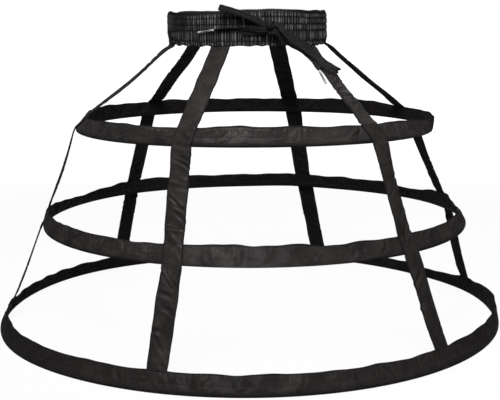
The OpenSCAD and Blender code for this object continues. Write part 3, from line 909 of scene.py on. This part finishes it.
def waistband(seed):
    """The band in one sheet: its outer turned edge, shirred face, top roll, lining and inner turned edge."""
    rng = np.random.default_rng(seed)
    dense = np.linspace(-math.pi, math.pi, 4001)
    ring = lengths(waist_point(dense, mean_n + 0 * dense))
    girth = ring[-1]
    turn = np.interp(np.linspace(0, girth, gathers * per_gather + 1), ring, dense)
    arc = np.linspace(-math.pi, math.pi, gathers * per_gather + 1)
    at_strap = np.max([
        hump(turn, math.degrees(waist_angle(angles[0])), 10) for angles in STRAPS.values()], axis=0)
    left = hump(turn, -104, 22)
    plain = hump(turn, -88, 27)
    wide = np.clip(0.95 * hump(turn, -94, 28) + 0.4 * hump(turn, 88, 20), 0, 1)
    fine_phase = gather_phase(arc, gathers, rng, girth)
    wide_phase = gather_phase(arc, wide_gathers, rng, girth)
    lip = (4.7 + 0.8 * at_strap) * mm
    inner_lip = (3.3 - 0.7 * at_strap) * mm
    # Where the top roll ruffles more and its crests are painted paler.
    streaky = 0.3 + 0.7 * hump(turn, 8, 20)

    n, v, crest = [], [], []

    def add_row(out, up, tall):
        n.append(out)
        v.append(up + 0 * turn)
        crest.append(tall + 0 * turn)

    for inset, up in OUTER_EDGE:
        add_row(lip + inset * mm, up * mm, 0)
    for k, (bottom, top, depth, rows) in enumerate(ZONES):
        talls = rng.uniform(0.55, 1, gathers)
        wide_talls = rng.uniform(0.4, 1, wide_gathers)
        for i in range(rows):
            w = (1 - math.cos(math.pi * i / rows)) / 2
            swell = math.sin(math.pi * ((0.25 + 0.75 * w) if k == 0 else w)) ** 0.3
            up = bottom + w * (top - bottom)
            low = 1 - smooth_step(up, 15 * mm, 22 * mm)
            slanted = gathered(wide_phase + fold_slant * up * low, wide_talls) * (1 - 0.8 * left * low)
            fold = gathered(fine_phase, talls) * (1 - wide) + 1.1 * slanted * wide
            fold = fold * (1 - 0.75 * plain * (1 - low))
            # Painted highlight: how pale each crest is painted, by its swell and by where it lies round the
            # band, with a painted light over the flatter plain panel.
            seen = hump(turn, 75, 45) * swell + (1 - hump(turn, 75, 45)) * math.sqrt(swell)
            base = lip + (valley - lip) * smooth_step(up, 0, 5.5 * mm)
            pinch = pinch_n * left * (1 - at_strap) * (1 - smooth_step(up, 12 * mm, 17 * mm))
            out = base - np.minimum(pinch, base - least_n) + depth * swell * fold + row_puff * swell
            add_row(out, up, np.maximum(seen * fold, 0.6 * plain * (1 - low)))
    shoulder = ZONES[-1][1]
    roll_n = (valley + inner_n) / 2
    roll_w = (valley - inner_n) / 2
    for a in np.linspace(0, math.pi, 10):
        ruffle = 0.7 * mm * streaky * fold * (1 - 0.6 * a / math.pi)
        up = shoulder + (band_h - shoulder + roll_lift + ruffle) * math.sin(a)
        # The top roll's crests are painted paler on its outer side, fading to none on its inner side.
        add_row(roll_n + (roll_w + ruffle) * math.cos(a), up, fold * streaky * (0.8 - 0.8 * a / math.pi))
    back = gathered(fine_phase, rng.uniform(0.55, 1, gathers))
    for up in LINING:
        # The lining's gathers get a faint painted highlight too.
        add_row(inner_n - 0.4 * mm * back, up * mm, 0.3 * back)
    for up, share in LINING_FOOT:
        add_row(inner_n + (inner_lip - inner_n) * share, up * mm, 0)
    for inset, up in INNER_EDGE:
        add_row(inner_lip + inset * mm, up * mm, 0)
    n, v, crest = np.array(n), np.array(v), np.array(crest)

    crown = strays(turn, [(-110, 15, -3.4), (-56, 28, -2.9), (8, 17, 1.2), (55, 22, -0.9)])
    crown = crown + waves(arc, 0, rng, girth, 30 * mm, 90 * mm) * 0.35
    hem = drawn_up(turn) + waves(arc, 0, rng, girth, 14 * mm, 50 * mm) * 0.45 * mm
    height = v + crown * mm * smooth_step(v, 20 * mm, band_h) + hem * (1 - smooth_step(v, 1 * mm, 18 * mm))
    places = np.concatenate([waist_point(turn[None] + 0 * n, n), (band_z + height)[..., None]], axis=2)
    across = lengths(places[:, len(turn) // 2])
    flat = np.linspace(0, girth, len(turn)) * take_up
    sheet = cloth("shirred_band", places, flat, across, {"crest": crest}, ring=True)
    cut_buttonholes(sheet)

    normals = facing(places)
    face = len(OUTER_EDGE)
    shirred = v[face:face + sum(zone[3] for zone in ZONES), 0]
    rows = [np.argmin(np.abs(shirred - zone[0])) + face for zone in ZONES[1:]]
    thread = sew("stitching_band", [(places[k], normals[k]) for k in rows])
    welts = [buttonhole("left", -hole_t), buttonhole("right", hole_t)]
    belongs(sheet, shirring(), "band_cloth", "waistband")
    belongs(thread, thread_finish, "band_cloth")


waistband(31)


# Bow.
# The lace's ends cross at the centre front and are tied in a bow: two leads, a knot, two loops, two tails.
# Each tail ends in an aglet, a sleeve of clear plastic film rolled tight round the lace.
lace_w = 8 * mm
lace_t = 1.8 * mm
lace_step = 0.6 * mm
lead_n = 9.7 * mm
lead_x = 22.6
lead_points = 5
aglet_w = 2.8 * mm
aglet_l = 24 * mm
aglet_lap = 1.2 * mm
aglet_steps = 60
knot = np.array([11, -98, 409])
knot_core = (5.6, 3.9, 4.4)
wrap_w = 5.6 * mm
wrap_t = 2.1 * mm
upright = (0, 0, 1)

# Routes of the loops and the tails from the knot, in millimetres
LOOP_LEFT = [
    (7, -96.5, 410), (1, -96, 412), (-8, -94, 417), (-25, -91, 424), (-40, -88, 429), (-50, -88, 432),
    (-54, -91, 433), (-51, -96, 432), (-40, -98, 429), (-25, -99, 424), (-8, -100, 417), (1, -100, 412),
    (7, -99.5, 410)]
LOOP_RIGHT = [
    (15, -96, 408.5), (21, -96, 408), (40, -94, 395), (58, -93, 385), (71, -93, 375), (80, -107, 364),
    (90, -115, 357), (96, -121, 353), (93, -128, 352), (84, -131, 355), (73, -127, 361.5), (63, -114, 371.5),
    (51, -107, 382), (36, -105, 392), (28, -103.5, 402), (21, -100, 410), (15, -99.5, 410)]
TAIL_LEFT = [
    (4.75, -99, 404), (-2, -99, 404), (-12, -96, 405), (-24, -93, 405), (-36, -89.5, 405),
    (-48, -85.5, 405), (-60, -80, 404)]
TAIL_RIGHT = [
    (17.25, -99, 401.5), (20, -99, 401.5), (30, -98, 391), (40, -98, 385), (52, -101, 378), (60, -109, 370),
    (65, -124, 361), (67, -137, 352)]


def course(route, flats, step):
    """A smooth line through a route in millimetres, with the direction of the lace's width along it."""
    route, flats = np.array(route, float) * mm, np.array(flats, float)
    ends = np.vstack([2 * route[0] - route[1], route, 2 * route[-1] - route[-2]])
    u = np.linspace(0, len(route) - 1, 40 * (len(route) - 1) + 1)
    k = np.minimum(u.astype(int), len(route) - 2)
    f = (u - k)[:, None]
    a, b, c, d = ends[k], ends[k + 1], ends[k + 2], ends[k + 3]
    line = b + ((c - a) * f + (2 * a - 5 * b + 4 * c - d) * f**2 + (3 * b - a - 3 * c + d) * f**3) / 2
    travel = lengths(line)
    spots = np.linspace(0, travel[-1], round(travel[-1] / step) + 1)
    return between(spots, travel, line), between(spots, travel, between(u, np.arange(len(route)), flats))


def sweep(name, line, widths, breadth, depth, sides=28, groove=0.0):
    """A rounded flat section swept along a line, with its breadth and depth at each place."""
    way = unit(np.gradient(line, axis=0))
    widths = unit(widths - way * (widths * way).sum(1, keepdims=True))
    face = np.cross(way, widths)
    a = -np.linspace(0, 2 * math.pi, sides + 1)[:, None]
    flat = np.sign(np.cos(a)) * np.abs(np.cos(a)) ** 0.75 * breadth / 2
    hollow = 1 - groove * np.exp(-((np.cos(a) / 0.2) ** 2))
    high = np.sign(np.sin(a)) * np.abs(np.sin(a)) ** 0.75 * depth / 2 * hollow
    places = line[None] + widths[None] * flat[..., None] + face[None] * high[..., None]
    return cloth(name, places, lengths(line), lengths(places[:, len(line) // 2]), ring=True)


def lace(name, route, flats, ends, nodes, with_pieces=()):
    """One length of lace, narrowed at its start and its end by shares of its full width."""
    line, widths = course(route, flats, lace_step)
    spots = lengths(line)
    size = 1 - (1 - ends[0]) * (1 - smooth_step(spots, 0, 8 * mm))
    size = size * (1 - (1 - ends[1]) * smooth_step(spots, spots[-1] - 7 * mm, spots[-1]))
    ripple = 1 + 0.03 * np.sin(spots / (3.7 * mm)) + 0.03 * np.sin(spots / (1.9 * mm) + 1)
    piece = sweep(name, line, widths, lace_w * size * ripple, lace_t * (1.25 - 0.25 * size), groove=0.25)
    belongs(piece, lace_finish, "lace", *nodes)


def clear_film():
    finish = Finish("clear_film", {"Coat Weight": 0.6, "Coat Roughness": 0.08, "Roughness": 0.22})
    flat, along = finish.cut()[:2]
    lap = finish.grain(2.2 * mm, detail=2, stretch=(5, 1, 1), places=flat)
    ends = along.math("ABSOLUTE", along - aglet_l / 2) * (2 / aglet_l)
    # Painted highlight: the film is painted pale towards both ends, where the clear film's reflections show,
    # with the lap's own tone mixed in.
    painted_highlight_and_lap = ends.math("MULTIPLY", ends, ends) * 0.7 + lap * 0.3
    finish.link("Base Color", painted_highlight_and_lap.blend(shade(0.03), shade(0.62, 0.03)))
    finish.raised(lap, 0.12 * mm)
    return finish.material


film_finish = clear_film()


def aglet(side, route, way):
    """An aglet that points the given way, lapped over the end of a tail's route."""
    start = np.array(route[-1]) * mm
    way = unit(np.array(way, float))
    spots = np.linspace(0, aglet_l, aglet_steps)
    line = start + way * (spots[:, None] - aglet_lap)
    rounded = np.minimum(1, np.sqrt(np.clip(np.minimum(spots, aglet_l - spots) / (0.9 * mm), 0.002, 1)))
    dents = 1 - 0.06 * np.exp(-(((spots - 4 * mm) / (0.8 * mm)) ** 2))
    round_w = aglet_w * rounded * dents
    widths = np.tile([0.3, 0.2, 1.0], (aglet_steps, 1))
    piece = sweep("film_aglet_" + side, line, widths, round_w, round_w)
    belongs(piece, film_finish, "aglet", "aglet_" + side)
    return piece


def wrapped_knot():
    """The knot: a lace wound over the crossing ends, round a filled middle."""
    winding = np.linspace(-0.5, 2.6, 26) * math.pi
    route = [
        knot + (3.1 * (a / math.pi - 1.05), 4.4 * math.cos(a), 4.9 * math.sin(a)) for a in winding]
    flats = [(1, 0.25 * math.sin(a), -0.25 * math.cos(a)) for a in winding]
    line, widths = course(route, flats, lace_step)
    even = np.ones(len(line))
    wrap = sweep("wrapped_knot", line, widths, wrap_w * even, wrap_t * even, groove=0.3)
    bpy.ops.object.select_all(action="DESELECT")
    bpy.ops.mesh.primitive_uv_sphere_add(segments=24, ring_count=14, radius=mm, location=knot * mm)
    core = bpy.context.object
    core.scale = knot_core
    bpy.ops.object.transform_apply(location=True, rotation=True, scale=True)
    bpy.ops.object.shade_smooth()
    wrap.select_set(True)
    bpy.context.view_layer.objects.active = wrap
    bpy.ops.object.join()
    belongs(wrap, lace_finish, "lace", "bow_knot")
    return wrap


def lead(side, end_x):
    """Places along the front of the band from a buttonhole to the knot, in millimetres."""
    spots = np.linspace(side * lead_x, end_x, lead_points)
    t = np.arcsin(spots * mm / (waist_w / 2 + lead_n))
    return [(*p, lace_z / mm) for p in waist_point(t, lead_n + 0 * t) / mm]


def turning(first, last, count):
    return list(np.linspace(first, last, count))


def folded_back(first, last, count):
    """Directions of a loop's width, from the knot to the tip and back."""
    first, last = np.array(first), np.array(last)
    shares = 1 - np.abs(2 * np.arange(count) / (count - 1) - 1)
    return [first + (last - first) * share for share in shares]


knot_piece = wrapped_knot()
lead_left = lead(-1, 4.75)
lead_right = lead(1, 17.25)
lead_flats = [upright] * (lead_points + 1)
lace(
    "lace_left_to_right", lead_left + [(11, -97, 402)] + TAIL_RIGHT,
    lead_flats + turning((0.6, 0, 0.8), (0.95, 0.2, -0.15), len(TAIL_RIGHT)), (1, 0.35),
    ("drawstring_lead_left", "bow_tail_right"), [aglet("right", TAIL_RIGHT, (5, -18, -17))])
lace(
    "lace_right_to_left", lead_right + [(11, -95, 404)] + TAIL_LEFT,
    lead_flats + turning((0, -0.2, 1), (0, -1, 0.25), len(TAIL_LEFT)), (1, 0.35),
    ("drawstring_lead_right", "bow_tail_left"), [aglet("left", TAIL_LEFT, (-18, 11, -3))])
lace(
    "lace_loop_left", LOOP_LEFT,
    folded_back((0.36, 0, 0.93), (0.36, 0, 0.93), len(LOOP_LEFT)), (0.6, 0.6),
    ("bow_loop_left",), [knot_piece])
lace(
    "lace_loop_right", LOOP_RIGHT,
    folded_back((0.66, 0, 0.75), (0.58, 0.74, 0.21), len(LOOP_RIGHT)), (0.6, 0.6),
    ("bow_loop_right",))


# Studio.
# A pale floor that keeps the shadow, soft lamps in front, above and behind, and the camera, which stands
# where the three hoops' ellipses in the picture put it, a little left of the centre front.
camera_spot = (-278.3 * mm, -1431.5 * mm, 419.4 * mm)
camera_down = math.radians(9.975)
camera_turn = math.radians(-11)
camera_roll = 0.0063
image_w = 500
focal_px = 1040.3
centre_px = 248.2
drop_px = 0.8
sensor_w = 36

bpy.ops.object.camera_add(location=camera_spot, rotation=(math.pi / 2 - camera_down, 0, camera_turn))
camera = bpy.context.object
camera.rotation_euler.rotate_axis("Z", -camera_roll)
camera.data.sensor_width = sensor_w
camera.data.lens = focal_px / image_w * sensor_w
camera.data.shift_x = 0.5 - centre_px / image_w
camera.data.shift_y = drop_px / image_w
bpy.context.scene.camera = camera


def white_paper():
    material = bpy.data.materials.new("white_paper")
    material.use_nodes = True
    tree = material.node_tree
    wire = Wire(tree)
    tree.nodes.remove(tree.nodes["Principled BSDF"])
    seen = wire.node("ShaderNodeLightPath", output="Is Camera Ray")
    paper = wire.node("ShaderNodeBsdfDiffuse", {"Color": shade(0.3)})
    glow = wire.node("ShaderNodeEmission", {"Color": shade(1.0), "Strength": 1.16})
    place = wire.node("ShaderNodeTexCoord", output="Object")
    far = wire.node("ShaderNodeVectorMath", {0: place}, output="Value", operation="LENGTH")
    share = wire.node("ShaderNodeMapRange", {0: far, 1: 1.0, 2: 3.0, 3: 0.8, 4: 1.0})
    mixed = wire.node("ShaderNodeMixShader", {0: seen * share, 1: paper, 2: glow})
    tree.links.new(mixed.socket, tree.nodes["Material Output"].inputs["Surface"])
    return material


bpy.ops.mesh.primitive_plane_add(size=40)
floor = bpy.context.object
floor.name = "floor"
dress(floor, white_paper())


def lamp(name, spot, aim, size, spread, power):
    bpy.ops.object.light_add(type="AREA", location=spot)
    light = bpy.context.object
    light.name = name
    light.data.shape = "DISK"
    light.data.size = size
    light.data.spread = math.radians(spread)
    light.data.energy = power
    light.rotation_euler = (Vector(aim) - light.location).to_track_quat("-Z", "Y").to_euler()


lamp("key", (-0.5, -1.2, 1.6), (0, -0.1, 0.42), 1.0, 60, 4.9)
lamp("fill", (1.6, -1.9, 1.4), (0, 0, 0.3), 1.6, 180, 11)
lamp("back", (0.7, 2.0, 1.5), (0, 0, 0.25), 1.4, 180, 7)
lamp("overhead", (0, -0.4, 1.9), (0, -0.1, 0), 1.4, 180, 14)

world = bpy.data.worlds.new("studio")
bpy.context.scene.world = world
world.use_nodes = True
sky = Wire(world.node_tree)
seen = sky.node("ShaderNodeLightPath", output="Is Camera Ray")
background = world.node_tree.nodes["Background"]
background.inputs["Color"].default_value = shade(1.0)
world.node_tree.links.new((seen * 0.9 + 0.1).socket, background.inputs["Strength"])
bpy.context.scene.view_settings.view_transform = "Standard"
